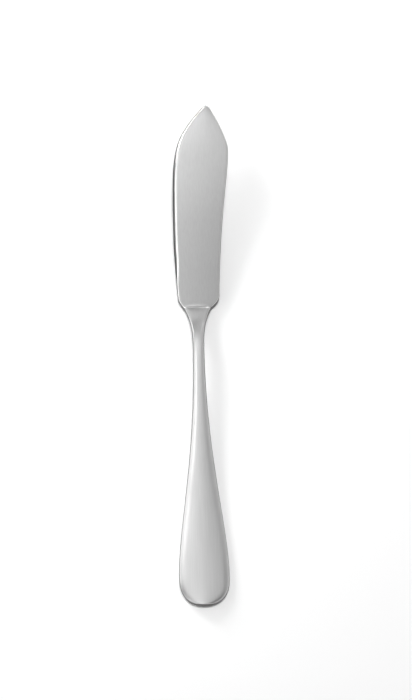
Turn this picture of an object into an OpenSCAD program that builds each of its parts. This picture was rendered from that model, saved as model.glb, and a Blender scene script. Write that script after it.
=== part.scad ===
// Butter spreader: a broad pointed blade on a slim arched handle that widens to a rounded end.
// Millimetres, Z up, Y towards the tip. The origin lies on the table under the middle of the part.

/* [Blade] */

// Length of the blade from the seat to the tip
blade_l = 72.25; // [63:0.25:86]
// How far up the blade the sloping shoulders reach
heel_u = 3.65; // [2.6:0.05:6]
// Reach of the belly side at the heel, from the handle's middle line
heel_belly = 6.45; // [5.6:0.05:7.4]
// Reach of the back at the heel, from the handle's middle line
heel_back = 7.3; // [5.6:0.05:9]
// Farthest reach of the belly from the handle's middle line
belly_x = 7.53; // [6.6:0.05:10]
// Distance from the seat to the farthest place of the belly
belly_u = 27.4; // [18:0.2:38]
// Farthest reach of the back from the handle's middle line
back_x = 11.7; // [9.5:0.1:14]
// Length of the clipped end, from the corner of the back to the tip
clip_l = 16.1; // [12:0.1:20]
// Offset of the nose from the handle's middle line
nose_x = 4.5; // [2:0.1:6.5]
// Width of the nose where its rounding starts
nose_w = 3.1; // [2:0.1:4.5]
// Length of the rounding at the tip
nose_r = 1.0; // [0.5:0.1:1.6]
// Thickness at the root
root_t = 2.1; // [1.6:0.1:2.6]
// Thickness at the tip
tip_t = 1.1; // [0.8:0.1:1.6]
// How far the tip lies below a straight rise, since the blade is bowed a little
blade_bow = 1.2; // [0:0.1:2]
// Depth to which the face rolls down at the very tip
tip_drop = 0.3; // [0:0.02:0.4]
// Length of that roll
tip_roll = 5; // [3:0.5:10]
// Height of the very light crown across the upper face
face_crown = 0.16; // [0:0.02:0.4]
// Height to which the face sweeps up into the neck at the seat
root_sweep = 0.36; // [0.2:0.02:0.6]
// Length of that sweep
sweep_run = 2.3; // [1.5:0.1:4.5]
// Share of that length lost at the sides, which bends the line of the root
root_bend = 0.6; // [0:0.05:0.8]
// Rounding along the back and the shoulders
blade_edge = 0.3; // [0.15:0.05:0.45]
// Width of the ground bevel along the belly
bevel_w = 1.0; // [0.5:0.1:2]
// Depth of the bevel at the spreading edge
bevel_d = 0.74; // [0.4:0.02:1]
// Softness of the line between the bevel and the face
bevel_soft = 0.5; // [0.2:0.05:1]
// Angle at which the blade rises from the heel
rise = 8.5; // [4:0.5:14]

/* [Handle] */

// Length of the handle from the seat to its rounded end
handle_l = 101.6; // [90:0.2:120]
// Width at the narrowest part of the neck
neck_w = 3.76; // [3.4:0.02:5]
// Distance from the seat to the narrowest part of the neck
neck_s = 16; // [12:0.5:22]
// Width at the widest place of the end
end_w = 16.04; // [12:0.1:20]
// Length of the rounded end past its widest place
end_l = 9.3; // [6:0.1:12]
// Squareness of the rounded end, where 2 is an ellipse
end_square = 2.35; // [2:0.05:3.5]
// Height of the side walls at the neck, inside their rounding
neck_wall = 2.5; // [2:0.05:3]
// Height of the side walls at the end, inside their rounding
end_wall = 1.7; // [1.2:0.05:2.4]
// Rounding of the long edges
edge_r = 0.6; // [0.4:0.05:0.9]
// Crown of the upper side at the neck
neck_crown = 0.16; // [0.1:0.02:0.7]
// Crown of the upper side at the end
end_crown = 0.75; // [0.3:0.05:1.2]
// Crown of the underside at the neck
neck_under = 0.3; // [0.15:0.05:0.7]
// Crown of the underside at the end
end_under = 0.2; // [0.15:0.01:0.4]
// Angle at which the neck rises from the heel
neck_rise = 13; // [7:0.5:18]
// Length of the straight part of the neck behind the seat
neck_straight = 6; // [5.6:0.1:9]
// Distance from the seat to the top of the arch
arch_s = 17; // [14:0.5:24]
// Distance from the seat to the start of the part that lies flat
flat_s = 76; // [60:1:84]
// Length over which the fall behind the arch starts, and over which it ends
fall_blend = 12; // [6:0.5:20]
// Depth ground off the underside where the handle rests
rest_cut = 0.1; // [0.06:0.01:0.14]

/* [Seat] */

// Width of the seat, shared by the blade's root and the handle's front end
seat_w = 9.2; // [8.2:0.1:10.4]
// Width of the tang
tang_w = 2.8; // [2:0.1:3]
// Thickness of the tang
tang_t = 1.2; // [0.8:0.05:1.4]
// Length of the tang in its socket
tang_l = 5.2; // [3.5:0.1:5.4]
// Gap left around the tang for the brazing metal
braze_gap = 0.05; // [0.03:0.01:0.1]

/* [Hidden] */

blade_steel = [0.8, 0.8, 0.79];
handle_steel = [0.74, 0.74, 0.73];

// Corner rounding of the handle's front end, close to the blade's own
seat_edge = 0.3;
// How fast the flare of the neck dies away behind the seat
flare_power = 2.9;
// How square the handle's edges are for each half width of theirs
edge_power = 1.2;
// The bevel starts this far from the seat and is at its full width after this length
bevel_u = 6;
bevel_run = 12;
// Length before the tip over which the bevel thins, and the share of it that goes
bevel_out = 16;
bevel_loss = 0.5;
// Share of the bevel that stays straight below its soft line
bevel_flat = 0.75;
// Largest share of the blade's thickness that the edge rounding may take
wall_limit = 0.25;
// Largest share of it that the bevel may take
depth_limit = 0.6;
// Largest shares of a narrow blade that the edge rounding, the bevel and its soft line may take
edge_limit = 0.2;
bevel_limit = 0.25;
soft_limit = 0.12;
// How much each side of the nose still closes in for each millimetre
nose_taper = 0.6;
// Half width and thickness share of a closing ring
ring_min = 0.2;
thin_min = 0.12;
// How far the tang reaches into the root, and the socket out of the front end
overlap = 0.3;
// Length behind the seat over which the swept root dies away
hump_l = 6;
// How fast the sweep fades along the blade, and its squareness across the seat
sweep_power = 3;
sweep_square = 8;
// Necks' lengths over which the tight corners of the front end grow into the long edges' rounding
edge_run = 2;
// Points around one ring of the handle
ring_n = 32;

// Pull of each outline curve: [across, along] shares for its two inner points
shoulder_pull = [[0.52, 0.34], [1, 0.78]];
low_belly_pull = [[0.45, 0.33], [1, 0.64]];
high_belly_pull = [[0, 0.68], [0.03, 0.73]];
back_pull = [[0.3, 0.63], [1, 0.83]];
clip_pull = [[0, 0.14], [0.39, 0.54]];
flank_pull = [[0, 0.49], [1, 0.77]];

blade_y = blade_l * cos(rise);
nose_u = blade_l - nose_r;
back_u = blade_l - clip_l;
wide_s = handle_l - end_l;
slope = tan(neck_rise);
// Heights of the middle plane at the seat, whose lower edge rests on the table, at the end and at the arch
seat_z = (root_t - rest_cut) / 2;
end_z = end_wall / 2 + end_under - rest_cut;
arch_z = seat_z + slope * (neck_straight + arch_s) / 2;
// Middle of the space the part stands in, measured from the seat
mid_x = (back_x - max(end_w / 2, belly_x)) / 2;
mid_y = (blade_y - handle_l) / 2;

function mix(a, b, t) = a + (b - a) * t;
function middle(points) = [for (p = points) 1] * points / len(points);
function smooth(t) = let (c = min(1, max(0, t))) c * c * (3 - 2 * c);

// The four points of an outline curve between two [across, along] places
function curve(a, b, pull) =
    let (inner = [for (p = pull) [mix(a[0], b[0], p[0]), mix(a[1], b[1], p[1])]])
    [a, inner[0], inner[1], b];

function cubic(p, t) =
    pow(1 - t, 3) * p[0] + 3 * pow(1 - t, 2) * t * p[1] + 3 * (1 - t) * t * t * p[2] + pow(t, 3) * p[3];

// Share of a curve at which it has gone the wanted distance along, found by halving
function share(p, u, lo = 0, hi = 1, n = 26) =
    let (m = (lo + hi) / 2)
    n == 0 ? m : cubic(p, m)[1] < u ? share(p, u, m, hi, n - 1) : share(p, u, lo, m, n - 1);

function across(p, u) = cubic(p, share(p, u))[0];

// Outline of the blade, as distances from the handle's middle line and from the seat
belly_heel = [-heel_belly, heel_u];
belly_far = [-belly_x, belly_u];
belly_nose = [nose_x - nose_w / 2, nose_u];
back_heel = [heel_back, heel_u];
back_far = [back_x, back_u];
back_nose = [nose_x + nose_w / 2, nose_u];
belly_shoulder = curve([-seat_w / 2, 0], belly_heel, shoulder_pull);
low_belly = curve(belly_heel, belly_far, low_belly_pull);
high_belly = curve(belly_far, belly_nose, high_belly_pull);
back_shoulder = curve([seat_w / 2, 0], back_heel, shoulder_pull);
back = curve(back_heel, back_far, back_pull);
clip = curve(back_far, back_nose, clip_pull);

// The nose closes like the end of an ellipse
function nose_half(u) =
    let (round = sqrt(max(0, 1 - pow((u - nose_u) / nose_r, 2))))
    max(ring_min, round * (nose_w / 2 - (u - nose_u) * nose_taper));

function belly_at(u) =
    u >= nose_u ? nose_x - nose_half(u)
    : u >= belly_u ? across(high_belly, u)
    : u >= heel_u ? across(low_belly, u)
    : across(belly_shoulder, u);

function back_at(u) =
    u >= nose_u ? nose_x + nose_half(u)
    : u >= back_u ? across(clip, u)
    : u >= heel_u ? across(back, u)
    : across(back_shoulder, u);

// Soft turn from one point to another past a corner
function turn(a, corner, b, t) = (1 - t) * (1 - t) * a + 2 * (1 - t) * t * corner + t * t * b;

// Height of the swept root at the distance u from the seat, for the share q of the half width
function sweep_at(u, q) =
    root_sweep * pow(max(0, 1 - u / sweep_run / (1 - root_bend * q * q)), sweep_power);

// One ring of the blade: along the underside, round the back, over the face and down the bevel
function blade_ring(u) =
    let (
        l = belly_at(u),
        r = back_at(u),
        w = r - l,
        h = mix(root_t, tip_t, u / blade_l) / 2,
        top = h - tip_drop * pow(max(0, 1 - (blade_l - u) / tip_roll), 2),
        t = top + h,
        e = min(blade_edge, w * edge_limit, t * wall_limit),
        fade = 1 - bevel_loss * smooth((u - blade_l + bevel_out) / bevel_out),
        grind = fade * smooth((u - bevel_u) / bevel_run),
        b = min(mix(e, bevel_w, grind), w * bevel_limit),
        d = mix(e, max(e, min(bevel_d, t * depth_limit)), grind),
        inner = l + b + min(bevel_soft, w * soft_limit),
        under = [for (k = [0:4]) [mix(l + e, r - e, k / 4), -h]],
        side = [
            for (a = [-60:30:60])
                [r - e + e * cos(a), (a < 0 ? e - h : a > 0 ? top - e : (top - h) / 2) + e * sin(a)]
        ],
        face = [
            for (k = [0:6])
                let (x = mix(r - e, inner, k / 6), q = (2 * x - l - r) / w)
                [x, top + face_crown * (1 - q * q) + sweep_at(u, q) * (1 - pow(abs(q), sweep_square))]
        ],
        flat = [l + b * bevel_flat, top - d * (1 - bevel_flat)],
        roll = [for (k = [1:3]) turn(face[6], [l + b, top], flat, k / 3)],
        low = [[l, top - d], [l, e - h]],
        z = seat_z + u * sin(rise) - blade_bow * pow(u / blade_l, 2)
    )
    [for (p = concat(under, side, face, roll, low)) [p[0], u * cos(rise), z + p[1]]];

blade_stations = concat(
    [for (k = [0:9]) heel_u * k / 10],
    [for (k = [0:7]) mix(heel_u, belly_u, k / 8)],
    [for (k = [0:13]) mix(belly_u, back_u, k / 14)],
    [for (k = [0:13]) mix(back_u, nose_u, k / 14)],
    [for (a = [0:15:75]) nose_u + nose_r * sin(a)],
    [blade_l]
);

// Half width of the handle at the distance s behind the seat
flank = curve([neck_w / 2, neck_s], [end_w / 2, wide_s], flank_pull);

function end_half(s) =
    end_w / 2 * pow(max(0, 1 - pow((s - wide_s) / end_l, end_square)), 1 / end_square);

function half_at(s) =
    s <= neck_s ? mix(neck_w / 2, seat_w / 2, pow(1 - s / neck_s, flare_power))
    : s <= wide_s ? across(flank, s)
    : max(ring_min, end_half(s));

// Height of the middle plane: straight neck, arch, long fall, flat end
function height_at(s) =
    s <= neck_straight ? seat_z + slope * s
    : s <= arch_s ? arch_z - slope * pow(arch_s - s, 2) / (2 * (arch_s - neck_straight))
    : let (
        d = min(s, flat_s) - arch_s,
        run = flat_s - arch_s,
        start = d > fall_blend ? d - fall_blend / 2 : d * d / (2 * fall_blend),
        ending = pow(max(0, d - run + fall_blend), 2) / (2 * fall_blend)
    )
    mix(arch_z, end_z, (start - ending) / (run - fall_blend));

// Size that changes from the seat to the neck and on to the end
function along(s, seat, neck, end) =
    s <= neck_s ? mix(seat, neck, smooth(s / neck_s))
    : mix(neck, end, smooth((s - neck_s) / (flat_s - neck_s)));

// One ring of the handle: crowned above and below, rounded at both edges and at the very end
function handle_ring(s) =
    let (
        half = half_at(s),
        z = height_at(s),
        wall = along(s, root_t, neck_wall, end_wall) / 2,
        over = along(s, face_crown, neck_crown, end_crown),
        hump = root_sweep * (1 - smooth(s / hump_l)),
        under = along(s, 0, neck_under, end_under),
        power = max(2, edge_power * half / mix(seat_edge, edge_r, smooth(s / neck_s / edge_run))),
        past = max(0, (s - handle_l + edge_r) / edge_r),
        close = max(thin_min, sqrt(max(0, 1 - past * past)))
    )
    [
        for (k = [0:ring_n - 1])
            let (
                a = 360 * k / ring_n,
                q = cos(a),
                tall = wall + (sin(a) > 0 ? over : under) * (1 - q * q)
                    + (sin(a) > 0 ? hump : 0) * (1 - pow(abs(q), sweep_square)),
                round = sqrt(max(0, 1 - pow(abs(q), power)))
            )
            [half * q, -s, z + sign(sin(a)) * close * round * tall]
    ];

handle_stations = concat(
    [for (k = [0:13]) neck_s * k / 14],
    [for (k = [0:29]) mix(neck_s, wide_s, k / 30)],
    [for (a = [0:8:80]) wide_s + (end_l - edge_r) * sin(a)],
    [for (a = [0:15:75]) handle_l - edge_r + edge_r * sin(a)],
    [handle_l]
);

// Skin over a row of rings with as many points each, closed by a fan round the middle of each end
module loft(rings) {
    n = len(rings[0]);
    last = len(rings) - 1;
    first_mid = (last + 1) * n;
    sides = [
        for (i = [0:last - 1], k = [0:n - 1])
            let (a = i * n + k, b = i * n + (k + 1) % n)
            each [[a, b, a + n], [b, b + n, a + n]]
    ];
    first_cap = [for (k = [0:n - 1]) [first_mid, (k + 1) % n, k]];
    last_cap = [for (k = [0:n - 1]) [first_mid + 1, last * n + k, last * n + (k + 1) % n]];
    polyhedron(
        points = concat([for (r = rings) each r], [middle(rings[0]), middle(rings[last])]),
        faces = concat(sides, first_cap, last_cap)
    );
}

// Straight bar along the neck, from inside the blade's root to the bottom of the socket
module tang_bar(gap) {
    translate([0, 0, seat_z])
        rotate([-neck_rise, 0, 0])
            translate([-tang_w / 2 - gap, -tang_l - gap, -tang_t / 2 - gap])
                cube([tang_w + 2 * gap, tang_l + gap + overlap, tang_t + 2 * gap]);
}

module table_cut() {
    translate([-end_w, -handle_l - overlap, -end_w])
        cube([2 * end_w, handle_l + overlap + heel_u, end_w]);
}

module from_seat() {
    translate([-mid_x, -mid_y, 0])
        children();
}

module blade() {
    color(blade_steel)
        from_seat()
            union() {
                difference() {
                    loft([for (u = blade_stations) blade_ring(u)]);
                    table_cut();
                }
                tang_bar(0);
            }
}

module handle() {
    color(handle_steel)
        from_seat()
            difference() {
                loft([for (s = handle_stations) handle_ring(s)]);
                table_cut();
                tang_bar(braze_gap);
            }
}

blade();
handle();
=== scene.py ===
import math

import bmesh
import bpy
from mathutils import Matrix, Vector


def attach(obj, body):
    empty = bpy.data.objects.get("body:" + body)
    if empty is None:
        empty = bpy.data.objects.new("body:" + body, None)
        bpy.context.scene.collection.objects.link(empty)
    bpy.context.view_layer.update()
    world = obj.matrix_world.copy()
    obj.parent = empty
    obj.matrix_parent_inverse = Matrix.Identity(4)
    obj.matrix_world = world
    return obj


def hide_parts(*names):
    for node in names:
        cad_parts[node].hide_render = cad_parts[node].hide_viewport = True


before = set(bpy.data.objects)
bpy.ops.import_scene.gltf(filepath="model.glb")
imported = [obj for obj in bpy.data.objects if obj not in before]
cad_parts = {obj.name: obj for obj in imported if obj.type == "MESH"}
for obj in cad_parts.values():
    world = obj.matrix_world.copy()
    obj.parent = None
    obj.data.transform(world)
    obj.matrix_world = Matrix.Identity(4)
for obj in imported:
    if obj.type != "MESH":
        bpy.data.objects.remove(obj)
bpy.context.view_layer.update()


# Blade: a broad plate of stainless steel, blanked to a pointed outline, ground thinner towards the tip and
# bevelled along the upper side of its belly. A short tang at its root is brazed into the handle's front end.

MM = 0.001
BLADE_LENGTH = 72.25
BLADE_RISE = math.radians(8.5)
HEEL_U = 3.65
HEEL_BELLY = 6.45
HEEL_BACK = 7.3
BELLY_X = 7.53
BELLY_U = 27.4
BACK_X = 11.7
CLIP_LENGTH = 16.1
NOSE_X = 4.5
NOSE_WIDTH = 3.1
NOSE_ROUND = 1.0
NOSE_TAPER = 0.6
ROOT_THICK = 2.1
TIP_THICK = 1.1
BLADE_BOW = 1.2
TIP_DROP = 0.3
TIP_ROLL = 5.0
FACE_CROWN = 0.16
ROOT_SWEEP = 0.36
SWEEP_RUN = 2.3
ROOT_BEND = 0.6
SWEEP_SQUARE = 8
BLADE_EDGE = 0.3
BEVEL_WIDTH = 1.0
BEVEL_DEPTH = 0.74
BEVEL_SOFT = 0.5
BEVEL_START = 6.0
BEVEL_RUN = 12.0
BEVEL_OUT = 16.0
BEVEL_LOSS = 0.5
BEVEL_FLAT = 0.75
LAND_ROUND = 0.12
# the largest shares of a thin or narrow place that the edges and the bevel may take
EDGE_LIMIT = 0.2
WALL_LIMIT = 0.25
BEVEL_LIMIT = 0.25
DEPTH_LIMIT = 0.6
SOFT_LIMIT = 0.12
LAND_REACH = 0.8
LAND_LIMIT = 0.4
KEEL_LIMIT = 0.5
# the seat that the blade shares with the handle, and the handle's sizes that set the middle of the part
SEAT_WIDTH = 9.2
NECK_RISE = math.radians(13)
REST_CUT = 0.1
TANG_WIDTH = 2.8
TANG_THICK = 1.2
TANG_LENGTH = 5.2
BRAZE_GAP = 0.05
HANDLE_LENGTH = 101.6
END_WIDTH = 16.04
RING_MIN = 0.2

NOSE_U = BLADE_LENGTH - NOSE_ROUND
BACK_U = BLADE_LENGTH - CLIP_LENGTH
NECK_SLOPE = math.tan(NECK_RISE)
SEAT_Z = (ROOT_THICK - REST_CUT) / 2
MIDDLE_X = (BACK_X - END_WIDTH / 2) / 2
MIDDLE_Y = (BLADE_LENGTH * math.cos(BLADE_RISE) - HANDLE_LENGTH) / 2


def mix(a, b, t):
    return a + (b - a) * t


def smooth(t):
    t = min(1.0, max(0.0, t))
    return t * t * (3 - 2 * t)


def curve(a, b, pull):
    inner = [(mix(a[0], b[0], x), mix(a[1], b[1], u)) for x, u in pull]
    return [a, inner[0], inner[1], b]


def cubic(points, t):
    weights = ((1 - t) ** 3, 3 * (1 - t) ** 2 * t, 3 * (1 - t) * t * t, t ** 3)
    return [sum(w * p[i] for w, p in zip(weights, points)) for i in (0, 1)]


HALVINGS = 40


def across(points, u):
    # the curve's x at the distance u, found by halving
    low, high = 0.0, 1.0
    for _ in range(HALVINGS):
        middle = (low + high) / 2
        if cubic(points, middle)[1] < u:
            low = middle
        else:
            high = middle
    return cubic(points, low)[0]


def turn(a, corner, b, t):
    weights = ((1 - t) ** 2, 2 * (1 - t) * t, t * t)
    return tuple(sum(w * p[i] for w, p in zip(weights, (a, corner, b))) for i in (0, 1))


SHOULDER_PULL = ((0.52, 0.34), (1, 0.78))
belly_heel, belly_far = (-HEEL_BELLY, HEEL_U), (-BELLY_X, BELLY_U)
back_heel, back_far = (HEEL_BACK, HEEL_U), (BACK_X, BACK_U)
belly_nose, back_nose = (NOSE_X - NOSE_WIDTH / 2, NOSE_U), (NOSE_X + NOSE_WIDTH / 2, NOSE_U)
belly_shoulder = curve((-SEAT_WIDTH / 2, 0), belly_heel, SHOULDER_PULL)
low_belly = curve(belly_heel, belly_far, ((0.45, 0.33), (1, 0.64)))
high_belly = curve(belly_far, belly_nose, ((0, 0.68), (0.03, 0.73)))
back_shoulder = curve((SEAT_WIDTH / 2, 0), back_heel, SHOULDER_PULL)
back = curve(back_heel, back_far, ((0.3, 0.63), (1, 0.83)))
clip = curve(back_far, back_nose, ((0, 0.14), (0.39, 0.54)))


def nose_half(u):
    round_share = math.sqrt(max(0.0, 1 - ((u - NOSE_U) / NOSE_ROUND) ** 2))
    return max(RING_MIN, round_share * (NOSE_WIDTH / 2 - (u - NOSE_U) * NOSE_TAPER))


def belly_at(u):
    if u >= NOSE_U:
        return NOSE_X - nose_half(u)
    return across(high_belly if u >= BELLY_U else low_belly if u >= HEEL_U else belly_shoulder, u)


def back_at(u):
    if u >= NOSE_U:
        return NOSE_X + nose_half(u)
    return across(clip if u >= BACK_U else back if u >= HEEL_U else back_shoulder, u)


# points along each stretch of the blade's section
UNDER_STEPS, SIDE_STEPS, FACE_STEPS, ROLL_STEPS, LAND_STEPS, KEEL_STEPS = 24, 14, 40, 8, 4, 5


def blade_ring(u):
    # the section at the distance u from the seat: underside, back, face, bevel, spreading edge and its foot
    left, right = belly_at(u), back_at(u)
    width = right - left
    half = mix(ROOT_THICK, TIP_THICK, u / BLADE_LENGTH) / 2
    top = half - TIP_DROP * max(0.0, 1 - (BLADE_LENGTH - u) / TIP_ROLL) ** 2
    thick = top + half
    edge = min(BLADE_EDGE, width * EDGE_LIMIT, thick * WALL_LIMIT)
    kept = 1 - BEVEL_LOSS * smooth((u - BLADE_LENGTH + BEVEL_OUT) / BEVEL_OUT)
    grind = smooth((u - BEVEL_START) / BEVEL_RUN) * kept
    bevel = min(mix(edge, BEVEL_WIDTH, grind), width * BEVEL_LIMIT)
    depth = mix(edge, max(edge, min(BEVEL_DEPTH, thick * DEPTH_LIMIT)), grind)
    inner = left + bevel + min(BEVEL_SOFT, width * SOFT_LIMIT)
    under = [(mix(left + edge, right - edge, k / UNDER_STEPS), -half) for k in range(UNDER_STEPS + 1)]
    side = []
    for k in range(1, SIDE_STEPS):
        angle = math.radians(-90 + 180 * k / SIDE_STEPS)
        if k == SIDE_STEPS // 2:
            middle = (top - half) / 2
        else:
            middle = edge - half if k < SIDE_STEPS // 2 else top - edge
        side.append((right - edge + edge * math.cos(angle), middle + edge * math.sin(angle)))
    face = []
    for k in range(FACE_STEPS + 1):
        x = mix(right - edge, inner, k / FACE_STEPS)
        q = (2 * x - left - right) / width
        sweep = ROOT_SWEEP * max(0.0, 1 - u / SWEEP_RUN / (1 - ROOT_BEND * q * q)) ** 3
        face.append((x, top + FACE_CROWN * (1 - q * q) + sweep * (1 - q ** SWEEP_SQUARE)))
    flat = (left + bevel * BEVEL_FLAT, top - depth * (1 - BEVEL_FLAT))
    roll = [turn(face[-1], (left + bevel, top), flat, k / ROLL_STEPS) for k in range(1, ROLL_STEPS + 1)]
    foot = (left, top - depth)
    near = LAND_REACH * min(1.0, LAND_ROUND / bevel)
    above = (mix(foot[0], flat[0], near), mix(foot[1], flat[1], near))
    below = (left, foot[1] - min(LAND_ROUND, (thick - depth) * LAND_LIMIT))
    land = [turn(above, foot, below, k / LAND_STEPS) for k in range(LAND_STEPS + 1)]
    low = min(edge, (thick - depth) * KEEL_LIMIT)
    corner = (left, -half)
    keel = [turn((left, low - half), corner, (left + edge, -half), k / KEEL_STEPS) for k in range(KEEL_STEPS)]
    y = u * math.cos(BLADE_RISE)
    z = SEAT_Z + u * math.sin(BLADE_RISE) - BLADE_BOW * (u / BLADE_LENGTH) ** 2
    return [(x, y, max(0.0, z + w)) for x, w in under + side + face + roll + land + keel]


TINY = 1e-9


def bar_loops(ring, gap):
    # the tang, or the socket around it: its mouth in the seat's plane and its far end, point for point
    half_w, half_t = TANG_WIDTH / 2 + gap, TANG_THICK / 2 + gap
    mouth_t = half_t / math.cos(NECK_RISE)
    flat = []
    for x, _, z in ring:
        z -= SEAT_Z
        reach = min(half_w / max(abs(x), TINY), mouth_t / max(abs(z), TINY))
        flat.append([x * reach / half_w, z * reach / mouth_t])
    for sx in (-1, 1):
        for sz in (-1, 1):
            nearest = min(flat, key=lambda p: (p[0] - sx) ** 2 + (p[1] - sz) ** 2)
            nearest[:] = sx, sz
    length = TANG_LENGTH + gap
    mouth = [(x * half_w, 0.0, SEAT_Z + z * mouth_t) for x, z in flat]
    far = []
    for x, z in flat:
        far.append((
            x * half_w,
            -length * math.cos(NECK_RISE) + z * half_t * math.sin(NECK_RISE),
            SEAT_Z + length * math.sin(NECK_RISE) + z * half_t * math.cos(NECK_RISE),
        ))
    return [far, mouth]


SHARP_ANGLE = math.radians(40)


def loft(name, loops):
    # a closed skin over loops of equally many points, capped at both ends
    mesh = bmesh.new()
    rows = []
    for loop in loops:
        rows.append([mesh.verts.new(Vector((x - MIDDLE_X, y - MIDDLE_Y, z)) * MM) for x, y, z in loop])
    n = len(rows[0])
    for low, high in zip(rows, rows[1:]):
        for k in range(n):
            mesh.faces.new((low[k], low[(k + 1) % n], high[(k + 1) % n], high[k]))
    for row in (rows[0], rows[-1]):
        middle = mesh.verts.new(sum((v.co for v in row), Vector()) / n)
        for k in range(n):
            mesh.faces.new((middle, row[k], row[(k + 1) % n]))
    bmesh.ops.recalc_face_normals(mesh, faces=mesh.faces)
    data = bpy.data.meshes.new(name)
    mesh.to_mesh(data)
    mesh.free()
    for polygon in data.polygons:
        polygon.use_smooth = True
    data.set_sharp_from_angle(angle=SHARP_ANGLE)
    piece = bpy.data.objects.new(name, data)
    bpy.context.scene.collection.objects.link(piece)
    return piece


# where the sections stand along the blade, closest over the heel and the rounded nose
HEEL_STEPS, BELLY_STEPS, BACK_STEPS, CLIP_STEPS = 40, 40, 50, 50
ROUNDING_DEGREES = range(0, 88, 4)
stations = [HEEL_U * k / HEEL_STEPS for k in range(HEEL_STEPS)]
stations += [mix(HEEL_U, BELLY_U, k / BELLY_STEPS) for k in range(BELLY_STEPS)]
stations += [mix(BELLY_U, BACK_U, k / BACK_STEPS) for k in range(BACK_STEPS)]
stations += [mix(BACK_U, NOSE_U, k / CLIP_STEPS) for k in range(CLIP_STEPS)]
stations += [NOSE_U + NOSE_ROUND * math.sin(math.radians(a)) for a in ROUNDING_DEGREES]
stations += [BLADE_LENGTH]
rings = [blade_ring(u) for u in stations]
blade = loft("spreading_blade", bar_loops(rings[0], 0) + rings)


def linear(hex_colour):
    parts = [int(hex_colour[i:i + 2], 16) / 255 for i in (1, 3, 5)]
    return [p / 12.92 if p <= 0.04045 else ((p + 0.055) / 1.055) ** 2.4 for p in parts] + [1.0]


def add(tree, kind, settings=None, links=None):
    # settings are the node's own or its inputs' values, links are the sockets that feed its inputs
    node = tree.nodes.new(kind)
    for key, value in (settings or {}).items():
        if isinstance(key, str) and hasattr(node, key):
            setattr(node, key, value)
        else:
            node.inputs[key].default_value = value
    for key, socket in (links or {}).items():
        tree.links.new(socket, node.inputs[key])
    return node


# The two finishes share one build-up. Fine lines lie along the spreader, a blasted grit covers them, and old
# hand marks change the gloss in soft patches. The cut walls are painted darker than the rubbed faces, partly
# for a darker skin from the press and partly as painted shade, and the corners between the two are painted
# paler as a painted highlight. Real lines and grit are about 0.05 mm wide, too fine for the picture, so both
# are drawn coarser.
GRAIN_ACROSS, GRAIN_ALONG = 0.30 * MM, 12 * MM
BLAST_GRIT, HAND_MARK = 0.22 * MM, 14 * MM
BUMP_SHARE, BUMP_HEIGHT = 0.06, 0.03 * MM
NOISE_LOW, NOISE_HIGH = 0.3, 0.7
GLOSS_SPREAD = 0.03
LINE_SHADE = "#EDEDED"


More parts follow.
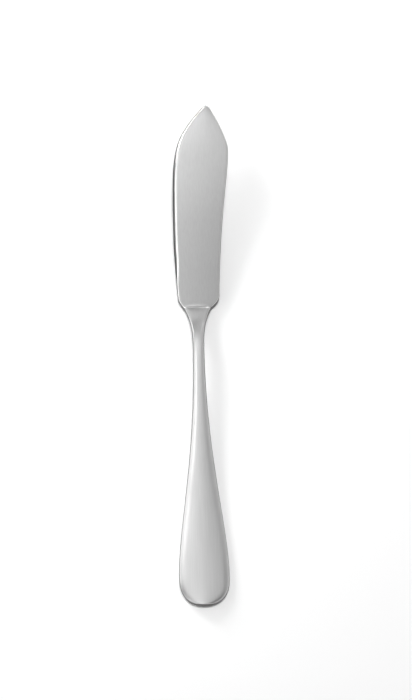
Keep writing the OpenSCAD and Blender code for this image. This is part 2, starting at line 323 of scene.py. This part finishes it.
def steel_finish(name, near, far, fade, wall, corner, rough, wall_limits, corner_limits):
    # near and far are the face's tones at the two ends of fade, in metres along the spreader, and the change
    # between them is painted light and shade; wall is the walls' tone, partly press skin and partly painted
    # shade, and corner is a painted highlight. The limits are shares of a level face: 0 stands upright, 1 lies
    # flat. Input 6 and 7 of a Mix node are its colours and output 2 is the mixed one.
    steel = bpy.data.materials.new(name)
    steel.use_nodes = True
    tree = steel.node_tree
    tree.nodes.clear()
    coords = add(tree, "ShaderNodeTexCoord")
    place = coords.outputs["Object"]
    along = add(
        tree, "ShaderNodeMapping",
        {"Scale": (1 / GRAIN_ACROSS, 1 / GRAIN_ALONG, 1 / GRAIN_ACROSS)}, {"Vector": place},
    )
    lines = add(tree, "ShaderNodeTexNoise", {"Scale": 1.0, "Detail": 3.0}, {"Vector": along.outputs[0]})
    grit = add(tree, "ShaderNodeTexNoise", {"Scale": 1 / BLAST_GRIT, "Detail": 2.0}, {"Vector": place})
    marks = add(tree, "ShaderNodeTexNoise", {"Scale": 1 / HAND_MARK, "Detail": 4.0}, {"Vector": place})
    relief = add(tree, "ShaderNodeMath", {"operation": "ADD"}, {0: lines.outputs[0], 1: grit.outputs[0]})
    bump = add(
        tree, "ShaderNodeBump", {"Strength": BUMP_SHARE, "Distance": BUMP_HEIGHT}, {"Height": relief.outputs[0]},
    )
    facing = add(tree, "ShaderNodeSeparateXYZ", None, {0: coords.outputs["Normal"]}).outputs[2]
    level = add(tree, "ShaderNodeMath", {"operation": "ABSOLUTE"}, {0: facing}).outputs[0]
    off_wall = add(
        tree, "ShaderNodeMapRange",
        {"From Min": wall_limits[0], "From Max": wall_limits[1]}, {"Value": level},
    )
    off_corner = add(
        tree, "ShaderNodeMapRange",
        {"From Min": corner_limits[0], "From Max": corner_limits[1]}, {"Value": level},
    )
    # the face's tone changes along the spreader: painted light and shade
    faded = add(
        tree, "ShaderNodeMapRange", {"From Min": fade[0], "From Max": fade[1]},
        {"Value": add(tree, "ShaderNodeSeparateXYZ", None, {0: place}).outputs[1]},
    )
    face = add(
        tree, "ShaderNodeMix", {"data_type": "RGBA", 6: linear(near), 7: linear(far)}, {0: faded.outputs[0]},
    )
    tone = add(
        tree, "ShaderNodeMix", {"data_type": "RGBA", "blend_type": "MULTIPLY", 7: linear(LINE_SHADE)},
        {0: lines.outputs[0], 6: face.outputs[2]},
    )
    # paler corners between walls and faces: a painted highlight
    with_painted_highlight = add(
        tree, "ShaderNodeMix", {"data_type": "RGBA", 6: linear(corner)},
        {0: off_corner.outputs[0], 7: tone.outputs[2]},
    )
    # darker cut walls: partly a skin from the press, partly painted shade
    skin_and_painted_shade = add(
        tree, "ShaderNodeMix", {"data_type": "RGBA", 6: linear(wall)},
        {0: off_wall.outputs[0], 7: with_painted_highlight.outputs[2]},
    )
    gloss = add(
        tree, "ShaderNodeMapRange",
        {
            "From Min": NOISE_LOW, "From Max": NOISE_HIGH,
            "To Min": rough - GLOSS_SPREAD, "To Max": rough + GLOSS_SPREAD,
        },
        {"Value": marks.outputs[0]},
    )
    shader = add(
        tree, "ShaderNodeBsdfPrincipled", {"Metallic": 1.0},
        {"Base Color": skin_and_painted_shade.outputs[2], "Roughness": gloss.outputs[0], "Normal": bump.outputs[0]},
    )
    add(tree, "ShaderNodeOutputMaterial", None, {"Surface": shader.outputs[0]})
    return steel


# Blasted stainless steel: the blade's finish. It gives an even, soft grey with no mirror image. It is painted
# paler towards the tip, as painted light. The dark line along the bevel is partly painted shade, and there is
# a painted highlight where the bevel meets the face.
blasted_steel = steel_finish(
    "blasted_stainless_steel", near="#A5A5A5", far="#B3B3B3", fade=(0.045, 0.085), wall="#626262",
    corner="#E8E8E8", rough=0.35, wall_limits=(0.78, 0.85), corner_limits=(0.93, 0.98),
)
blade.data.materials.append(blasted_steel)
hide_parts("blade")
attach(blade, "root")


# Handle: a stainless bar, forged slim at the neck, arched, and spread flat and rounded at its end. Its front
# end meets the blade's root flush, and a blind socket in it takes the tang.

NECK_WIDTH = 3.76
NECK_S = 16.0
END_LENGTH = 9.3
END_SQUARE = 2.35
NECK_WALL = 2.5
END_WALL = 1.7
SEAT_EDGE = 0.3
EDGE_ROUND = 0.6
EDGE_POWER = 1.2
NECK_CROWN = 0.16
END_CROWN = 0.75
NECK_UNDER = 0.3
END_UNDER = 0.2
NECK_STRAIGHT = 6.0
ARCH_S = 17.0
FLAT_S = 76.0
FALL_BLEND = 12.0
HUMP_LENGTH = 6.0
FLARE_POWER = 2.9
THIN_MIN = 0.12
RING_POINTS = 112
WIDE_S = HANDLE_LENGTH - END_LENGTH
END_Z = END_WALL / 2 + END_UNDER - REST_CUT
ARCH_Z = SEAT_Z + NECK_SLOPE * (NECK_STRAIGHT + ARCH_S) / 2
flank = curve((NECK_WIDTH / 2, NECK_S), (END_WIDTH / 2, WIDE_S), ((0, 0.49), (1, 0.77)))


def half_at(s):
    if s <= NECK_S:
        return mix(NECK_WIDTH / 2, SEAT_WIDTH / 2, (1 - s / NECK_S) ** FLARE_POWER)
    if s <= WIDE_S:
        return across(flank, s)
    left_over = max(0.0, 1 - ((s - WIDE_S) / END_LENGTH) ** END_SQUARE)
    return max(RING_MIN, END_WIDTH / 2 * left_over ** (1 / END_SQUARE))


def height_at(s):
    if s <= NECK_STRAIGHT:
        return SEAT_Z + NECK_SLOPE * s
    if s <= ARCH_S:
        return ARCH_Z - NECK_SLOPE * (ARCH_S - s) ** 2 / (2 * (ARCH_S - NECK_STRAIGHT))
    along, run = min(s, FLAT_S) - ARCH_S, FLAT_S - ARCH_S
    steady = max(0.0, along - FALL_BLEND / 2) if along > FALL_BLEND else along * along / (2 * FALL_BLEND)
    ending = max(0.0, along - run + FALL_BLEND)
    fallen = (steady - ending * ending / (2 * FALL_BLEND)) / (run - FALL_BLEND)
    return ARCH_Z - (ARCH_Z - END_Z) * fallen


def from_seat(s, seat, neck, end):
    if s <= NECK_S:
        return mix(seat, neck, smooth(s / NECK_S))
    return mix(neck, end, smooth((s - NECK_S) / (FLAT_S - NECK_S)))


def handle_ring(s):
    # the section at the distance s behind the seat, from the right side over the top and back underneath
    half, z = half_at(s), height_at(s)
    wall = from_seat(s, ROOT_THICK, NECK_WALL, END_WALL) / 2
    over = from_seat(s, FACE_CROWN, NECK_CROWN, END_CROWN)
    hump = ROOT_SWEEP * (1 - smooth(s / HUMP_LENGTH))
    under = from_seat(s, 0, NECK_UNDER, END_UNDER)
    power = max(2.0, EDGE_POWER * half / mix(SEAT_EDGE, EDGE_ROUND, smooth(s / (2 * NECK_S))))
    past = max(0.0, (s - HANDLE_LENGTH + EDGE_ROUND) / EDGE_ROUND)
    close = max(THIN_MIN, math.sqrt(max(0.0, 1 - past * past)))
    ring = []
    for k in range(RING_POINTS):
        q = math.cos(2 * math.pi * k / RING_POINTS)
        rounding = close * math.sqrt(max(0.0, 1 - abs(q) ** power))
        if k < RING_POINTS / 2:
            rim = z + rounding * (wall + over * (1 - q * q) + hump * (1 - q ** SWEEP_SQUARE))
        else:
            rim = z - rounding * (wall + under * (1 - q * q))
        ring.append((half * q, -s, max(0.0, rim)))
    return ring


ROUND_S = HANDLE_LENGTH - EDGE_ROUND
NECK_STEPS, FLANK_STEPS = 70, 120
END_DEGREES = range(0, 87, 3)
stations = [NECK_S * k / NECK_STEPS for k in range(NECK_STEPS)]
stations += [mix(NECK_S, WIDE_S, k / FLANK_STEPS) for k in range(FLANK_STEPS)]
stations += [mix(WIDE_S, ROUND_S, math.sin(math.radians(a))) for a in END_DEGREES]
stations += [mix(ROUND_S, HANDLE_LENGTH, math.sin(math.radians(a))) for a in ROUNDING_DEGREES]
stations += [HANDLE_LENGTH]
rings = [handle_ring(s) for s in stations]
handle = loft("arched_handle", bar_loops(rings[0], BRAZE_GAP) + rings)

# Satin stainless steel: the handle's finish. It is a little paler and glossier, with broad soft highlights,
# and it is painted darker towards the seat, to the blade's tone, as painted shade. Its rims carry the same
# painted shade on the walls and the same painted highlight on the corners.
satin_steel = steel_finish(
    "satin_stainless_steel", near="#BCBCBC", far="#ADADAD", fade=(-0.010, 0.012), wall="#606060",
    corner="#CACACA", rough=0.34, wall_limits=(0.42, 0.66), corner_limits=(0.74, 0.95),
)
handle.data.materials.append(satin_steel)
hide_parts("handle")
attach(handle, "root")


# Ground: a wide sheet of white board with a dead matt face, which the spreader lies on. It takes the soft
# shadow of the raised blade and the arched handle, and passes into plain white far from them.

FLOOR_RADIUS = 0.6
WHITE_FROM, WHITE_TO = 0.13, 0.30
board = bmesh.new()
bmesh.ops.create_circle(board, cap_ends=True, segments=96, radius=FLOOR_RADIUS)
board_mesh = bpy.data.meshes.new("white_board")
board.to_mesh(board_mesh)
board.free()
floor = bpy.data.objects.new("white_board", board_mesh)
bpy.context.scene.collection.objects.link(floor)

# Matt white board: it scatters all light evenly and shows no gloss.
white_board = bpy.data.materials.new("matt_white_board")
white_board.use_nodes = True
tree = white_board.node_tree
tree.nodes.clear()
paper = add(tree, "ShaderNodeBsdfDiffuse", {"Color": linear("#FBFBFB")})
white = add(tree, "ShaderNodeEmission", {"Color": linear("#FFFFFF"), "Strength": 1.0})
place = add(tree, "ShaderNodeTexCoord").outputs["Object"]
reach = add(tree, "ShaderNodeVectorMath", {"operation": "LENGTH"}, {0: place}).outputs["Value"]
beyond = add(tree, "ShaderNodeMapRange", {"From Min": WHITE_FROM, "From Max": WHITE_TO}, {"Value": reach})
ray = add(tree, "ShaderNodeLightPath").outputs
looked = add(tree, "ShaderNodeMath", {"operation": "ADD"}, {0: ray["Is Camera Ray"], 1: ray["Is Glossy Ray"]})
seen = add(
    tree, "ShaderNodeMath", {"operation": "ADD"}, {0: looked.outputs[0], 1: ray["Is Transmission Ray"]},
)
share = add(tree, "ShaderNodeMath", {"operation": "MULTIPLY"}, {0: seen.outputs[0], 1: beyond.outputs[0]})
surface = add(
    tree, "ShaderNodeMixShader", None, {0: share.outputs[0], 1: paper.outputs[0], 2: white.outputs[0]},
)
add(tree, "ShaderNodeOutputMaterial", None, {"Surface": surface.outputs[0]})
floor.data.materials.append(white_board)


# Light: a low softbox on the far left throws the long pale shadow, and a lamp overhead keeps the board white.
# Panels under the ceiling and cards beside the spreader are what the steel mirrors, and most of them are kept
# off the board. None of the lamps shows in the picture.

def softbox(name, place, size, radiance, aim=(0.0, 0.0, 0.0), on_steel=True, on_board=True):
    lamp = bpy.data.lights.new(name, "AREA")
    lamp.shape = "RECTANGLE"
    lamp.size, lamp.size_y = size
    lamp.energy = radiance * math.pi * size[0] * size[1]
    rig = bpy.data.objects.new(name, lamp)
    rig.location = place
    rig.rotation_euler = (Vector(aim) - Vector(place)).to_track_quat("-Z", "Y").to_euler()
    rig.visible_camera = False
    rig.visible_glossy = on_steel
    rig.visible_diffuse = on_board
    bpy.context.scene.collection.objects.link(rig)


STAND = 0.5


def seen_from(azimuth, height):
    # azimuth in degrees from the tip's direction, to the right where positive; height in degrees
    azimuth, height = math.radians(azimuth), math.radians(height)
    level = math.cos(height) * STAND
    return (math.sin(azimuth) * level, math.cos(azimuth) * level, math.sin(height) * STAND)


LOW_BOX = (0.16, 0.16)
LOW_HEIGHT = 18
softbox("key_softbox", seen_from(-40, LOW_HEIGHT), LOW_BOX, 11.0)
softbox("shadow_softbox", seen_from(-40, LOW_HEIGHT), LOW_BOX, 13.0, on_steel=False)
softbox("far_softbox", seen_from(20, LOW_HEIGHT), LOW_BOX, 15.4, on_board=False)
softbox("board_softbox", (0.06, 0.08, 0.8), (0.20, 0.20), 27.5, on_steel=False)

PANEL = (0.12, 0.12)
CEILING = 0.30
for x, y, radiance in (
    (-0.18, 0.10, 5.0), (-0.06, 0.06, 0.9), (-0.06, 0.18, 2.7), (-0.06, -0.18, 5.0),
    (0.06, -0.06, 0.75), (0.06, 0.06, 0.56), (0.06, 0.18, 1.0),
):
    softbox("ceiling_panel", (x, y, CEILING), PANEL, radiance, aim=(x, y, 0.0), on_board=False)
softbox("middle_panel", (-0.06, -0.06, CEILING), PANEL, 1.3, aim=(-0.06, -0.06, 0.0))

NEAR_BOX = (0.20, 0.20)
softbox("near_left_softbox", (-0.28, -0.27, 0.22), NEAR_BOX, 1.6, aim=(0.0, -0.08, 0.0), on_board=False)
softbox("left_card", (-0.10, -0.01, 0.05), (0.11, 0.08), 1.5, aim=(0.0, -0.01, 0.0))
softbox("right_card", (0.20, 0.05, 0.16), (0.30, 0.20), 0.55, aim=(0.0, -0.03, 0.0), on_board=False)
BACK_CARD = (0.50, 0.18)
softbox("back_card", seen_from(180, 14), BACK_CARD, 1.0, on_board=False)
softbox("near_right_card", seen_from(120, 14), BACK_CARD, 0.5, on_board=False)

# the room is a pale grey above the board and white below its edge
ROOM_LEVEL = 0.3
HORIZON = 0.03
room = bpy.data.worlds.new("pale_room")
bpy.context.scene.world = room
room.use_nodes = True
tree = room.node_tree
tree.nodes.clear()
direction = add(tree, "ShaderNodeTexCoord").outputs["Generated"]
upward = add(tree, "ShaderNodeSeparateXYZ", None, {0: direction}).outputs[2]
strength = add(
    tree, "ShaderNodeMapRange",
    {"From Min": 0.0, "From Max": HORIZON, "To Min": 1.0, "To Max": ROOM_LEVEL}, {"Value": upward},
)
walls = add(tree, "ShaderNodeBackground", {"Color": linear("#FFFFFF")}, {"Strength": strength.outputs[0]})
add(tree, "ShaderNodeOutputWorld", None, {"Surface": walls.outputs[0]})


# Camera: a long lens above the handle's end, looking down the spreader as the photograph does.

camera_data = bpy.data.cameras.new("camera")
camera_data.lens = 110.0
camera_data.sensor_width = 36.0
camera_data.clip_start = 0.01
camera = bpy.data.objects.new("camera", camera_data)
camera.location = (-0.006124, -0.264097, 0.656013)
aim = Vector((0.000593, -0.000348, 0.003))
camera.rotation_euler = (aim - camera.location).to_track_quat("-Z", "Y").to_euler()
bpy.context.scene.collection.objects.link(camera)
bpy.context.scene.camera = camera
bpy.context.scene.view_settings.view_transform = "Standard"
